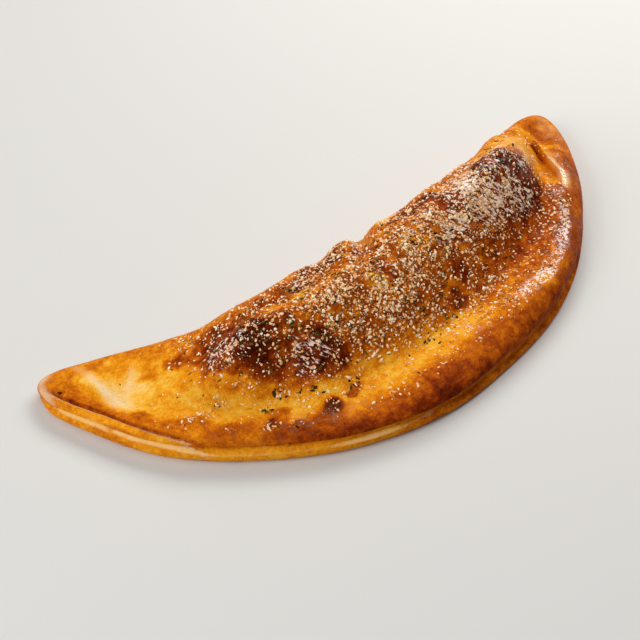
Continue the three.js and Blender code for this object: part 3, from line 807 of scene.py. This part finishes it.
def makeCrust():
    points, facts = crustGrid()
    toast = toastOf(facts, points)
    cheese, herbs = cheeseOf(facts, points), herbOf(facts, points)
    points = relieve(points, facts, toast)
    lip = lipOf(facts, points)
    layers = {"toast": toast, "lip": lip, "flour": flourAndSheenOf(facts, points), "gloss": glossOf(facts, lip),
              "cheese": cheese, "herbs": herbs, "frost": shredsAndSheenOf(facts)}
    foot, heartward = points[0] * (1, 1, 0), points[-1] * (1, 1, 0)
    points = np.concatenate([blend(foot, heartward, 0.6)[None], points]) * mm    # with a ring on the underside
    shift = shiftToFrame(points)
    mesh = bpy.data.meshes.new("crust")
    faces = closedFaces(len(points), facts["stations"])
    mesh.from_pydata((points + shift).reshape(-1, 3).tolist(), [], faces)
    for name, values in layers.items():
        values = np.concatenate([values[:1], values])
        attribute = mesh.attributes.new(name, "FLOAT", "POINT")
        attribute.data.foreach_set("value", values.astype(np.float32).ravel())
    mesh.polygons.foreach_set("use_smooth", [True] * len(mesh.polygons))
    mesh.materials.append(crustMaterial())
    mesh.update()
    return inScene("crust", mesh), shift


def newTree(name, inputs):
    tree = bpy.data.node_groups.new(name, "GeometryNodeTree")
    tree.interface.new_socket("Geometry", in_out="INPUT", socket_type="NodeSocketGeometry")
    for label, (kind, _) in inputs.items():
        tree.interface.new_socket(label, in_out="INPUT", socket_type=kind)
    tree.interface.new_socket("Geometry", in_out="OUTPUT", socket_type="NodeSocketGeometry")
    graph, labels = Graph(tree), ("Geometry", *inputs)
    return graph, dict(zip(labels, graph.node("NodeGroupInput", output=labels)))


def runTree(name, mesh, graph, inputs):    # the tree's result as a plain mesh
    carrier = inScene(name + "Carrier", mesh.copy())
    modifier = carrier.modifiers.new("nodes", "NODES")
    modifier.node_group = graph.tree
    for item in graph.tree.interface.items_tree:
        if item.in_out == "INPUT" and item.name in inputs:
            modifier[item.identifier] = inputs[item.name][1]
    evaluated = carrier.evaluated_get(bpy.context.evaluated_depsgraph_get())
    result = inScene(name, bpy.data.meshes.new_from_object(evaluated))
    carrier.modifiers.clear()
    bpy.data.objects.remove(carrier)
    print(name, len(result.data.polygons), "faces")
    return result


draws = {"spin": 11, "luck": 12, "stretch": 13, "pick": 14, "tone": 15}    # seeds


def randomValue(graph, name, low=0.0, high=1.0, kind="FLOAT"):
    output, first = {"FLOAT": (1, 2), "FLOAT_VECTOR": (0, 0), "INT": (2, 4)}[kind]
    values = {first: low, first + 1: high, "Seed": draws[name]}
    return graph.node("FunctionNodeRandomValue", {"data_type": kind}, values, output=output)


def knobblyShapes(graph, sizes):    # a ball for each form, dented by noise and then stretched
    for k, (form, detail) in enumerate(sizes["forms"]):
        ball = graph.node("GeometryNodeMeshIcoSphere", {}, {"Radius": 1.0, "Subdivisions": detail})
        place = graph.node("GeometryNodeInputPosition")
        values = {"Vector": place, "Scale": sizes["dents"] + k}
        dents = graph.node("ShaderNodeTexNoise", {}, values, output="Color")
        push = graph.vectors("MULTIPLY", graph.vectors("SUBTRACT", dents, (0.5, 0.5, 0.5)), sizes["push"])
        dented = graph.node("GeometryNodeSetPosition", {}, {"Geometry": ball, "Offset": push})
        yield graph.node("GeometryNodeTransform", {}, {"Geometry": dented, "Scale": form})


def scatter(name, mesh, sizes, material):    # as dense as the mesh's attribute of that name
    inputs = {
        "Per square metre": ("NodeSocketFloat", sizes["perSquareMetre"]),
        "Smallest": ("NodeSocketFloat", sizes["smallest"] * mm),
        "Largest": ("NodeSocketFloat", sizes["largest"] * mm),
        "Seed": ("NodeSocketInt", sizes["seed"]),
        "Material": ("NodeSocketMaterial", material),
    }
    graph, entry = newTree(name + "Tree", inputs)
    density = graph.node("GeometryNodeInputNamedAttribute", {"data_type": "FLOAT"}, {"Name": name})
    values = {"Mesh": entry["Geometry"], "Density": density * entry["Per square metre"], "Seed": entry["Seed"]}
    points, turn = graph.node("GeometryNodeDistributePointsOnFaces", {}, values, output=("Points", "Rotation"))
    singles = [graph.node("GeometryNodeGeometryToInstance", {}, {0: shape}) for shape in knobblyShapes(graph, sizes)]
    choices = graph.node("GeometryNodeJoinGeometry", {}, {0: singles})
    tilt = sizes["tilt"]
    spin = randomValue(graph, "spin", (-tilt, -tilt, 0), (tilt, tilt, 2 * pi), "FLOAT_VECTOR")
    turned = graph.node("FunctionNodeRotateRotation", {"rotation_space": "LOCAL"}, {0: turn, 1: spin})
    luck = randomValue(graph, "luck") ** sizes["rarity"]
    size = entry["Smallest"] + (entry["Largest"] - entry["Smallest"]) * luck
    stretch = randomValue(graph, "stretch", *sizes["stretch"], "FLOAT_VECTOR")
    scale = graph.vectors("SCALE", stretch, size, socket="Scale")
    pick = randomValue(graph, "pick", 0, len(sizes["forms"]) - 1, "INT")
    values = {"Points": points, "Instance": choices, "Pick Instance": True, "Instance Index": pick,
              "Rotation": turned, "Scale": scale}
    placed = graph.node("GeometryNodeInstanceOnPoints", {}, values)
    values = {"Instances": placed, "Translation": (0, 0, sizes["lift"] * mm)}
    lifted = graph.node("GeometryNodeTranslateInstances", {}, values)
    settings = {"data_type": "FLOAT", "domain": "INSTANCE"}
    values = {"Geometry": lifted, "Name": "tone", "Value": randomValue(graph, "tone")}
    toned = graph.node("GeometryNodeStoreNamedAttribute", settings, values)
    solid = graph.node("GeometryNodeRealizeInstances", {}, {"Geometry": toned})
    dressed = graph.node("GeometryNodeSetMaterial", {}, {"Geometry": solid, "Material": entry["Material"]})
    graph.node("NodeGroupOutput", {}, {0: dressed})
    return runTree(name, mesh, graph, inputs)


# Grated hard cheese: crumbs, shreds and chips, a millimetre or two across. Each form has its proportions and detail.
gratedCheese = {
    "perSquareMetre": 440000.0, "smallest": 0.26, "largest": 1.1, "rarity": 1.9, "seed": 4,
    "tilt": 0.6, "lift": 0.0, "stretch": ((0.7, 0.7, 0.6), (1.35, 1.1, 1.0)),
    "forms": (((1.0, 0.9, 0.75), 1), ((1.3, 0.75, 0.6), 1), ((1.15, 0.95, 0.6), 1)),
    "dents": 1.7, "push": (1.7, 1.7, 1.7),
    "tones": [(0.0, (216, 136, 70)), (0.3, (242, 182, 114)), (0.6, (255, 218, 164)), (1.0, (255, 248, 226))],
    "grain": (0.8, 2), "bump": 0.4, "bumpHeight": 0.3,
}


def cheeseMaterial():
    material, graph, sockets = newMaterial("gratedCheese", {"Roughness": 0.5, "IOR": 1.45})
    grain = graph.fractal(graph.place(), *gratedCheese["grain"])
    colour = graph.ramp(gratedCheese["tones"], graph.attribute("tone") * 0.8 + grain * 0.35)
    graph.feed(sockets["Base Color"], colour)
    graph.feed(sockets["Normal"], graph.bump(grain, gratedCheese))
    return material


# Dried herbs: thin curled flakes, most of them specks.
driedHerbs = {
    "perSquareMetre": 80000.0, "smallest": 0.3, "largest": 1.6, "rarity": 1.9, "seed": 9,
    "tilt": 0.45, "lift": 0.2, "stretch": ((0.7, 0.7, 0.6), (1.35, 1.1, 1.0)),
    "forms": (((1.3, 0.75, 0.22), 2), ((1.0, 0.45, 0.2), 1)),
    "dents": 1.2, "push": (1.6, 1.6, 3.2),
    "tones": [(0.0, (40, 28, 8)), (0.5, (70, 54, 20)), (1.0, (124, 102, 50))],
}


def herbMaterial():
    material, graph, sockets = newMaterial("driedHerbs", {"Roughness": 0.65, "Specular IOR Level": 0.0})
    graph.feed(sockets["Base Color"], graph.ramp(driedHerbs["tones"], graph.attribute("tone")))
    return material


studio = {
    "floor": (217, 218, 218), "floorHalf": 3,
    "background": (1.0, 0.985, 0.96, 1.0), "backgroundStrength": 0.12,
}
lights = {    # direction as the camera sees it (right, away, up), distance, width and height, power, colour
    "window": ((0.3, 0.68, 0.64), 1.3, (1.3, 0.5), 15.0, (1.0, 0.955, 0.89)),
    "sky": ((-0.1, -0.1, 1.0), 1.4, (1.2, 1.2), 3.5, (1.0, 0.98, 0.95)),
    "fill": ((-1.0, -0.7, 0.8), 1.6, (1.0, 1.0), 16.0, (1.0, 0.98, 0.95)),
}
camera = {    # in the plan's millimetres, and in degrees
    "place": (-343.45, -371.81, 484.78), "turn": (45.58, 0.41, -38.26), "lens": 67.5,
}


def addFloor():
    half = studio["floorHalf"]
    mesh = bpy.data.meshes.new("floor")
    mesh.from_pydata([(-half, -half, 0), (half, -half, 0), (half, half, 0), (-half, half, 0)], [], [(0, 1, 2, 3)])
    constants = {"Roughness": 0.7, "Base Color": srgb(*studio["floor"])}
    mesh.materials.append(newMaterial("paleFloor", constants)[0])
    return inScene("floor", mesh)


def addLights():
    turn = radians(camera["turn"][2])
    for name, ((right, away, up), distance, (width, height), power, tint) in lights.items():
        lamp = bpy.data.lights.new(name, "AREA")
        lamp.shape, lamp.energy, lamp.size, lamp.size_y, lamp.color = "RECTANGLE", power, width, height, tint
        aim = Vector((right * cos(turn) - away * sin(turn), right * sin(turn) + away * cos(turn), up)).normalized()
        holder = inScene(name, lamp)
        holder.location = aim * distance
        holder.rotation_euler = (-aim).to_track_quat("-Z", "Y").to_euler()
    world = bpy.data.worlds.new("studio")
    world.use_nodes = True
    sockets = world.node_tree.nodes["Background"].inputs
    sockets["Color"].default_value = studio["background"]
    sockets["Strength"].default_value = studio["backgroundStrength"]
    scene.world = world


def addCamera(shift):
    data = bpy.data.cameras.new("camera")
    data.lens = camera["lens"]
    holder = inScene("camera", data)
    holder.location = np.array(camera["place"]) * mm + shift
    holder.rotation_euler = [radians(angle) for angle in camera["turn"]]
    scene.camera = holder


print("crust")
crust, shift = makeCrust()
print("cheese and herbs")
cheese = scatter("cheese", crust.data, gratedCheese, cheeseMaterial())
herbs = scatter("herbs", crust.data, driedHerbs, herbMaterial())
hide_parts("calzone")
for piece in (crust, cheese, herbs):
    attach(piece, "root")

print("studio")
addFloor()
addLights()
addCamera(shift)
scene.view_settings.view_transform = "Standard"
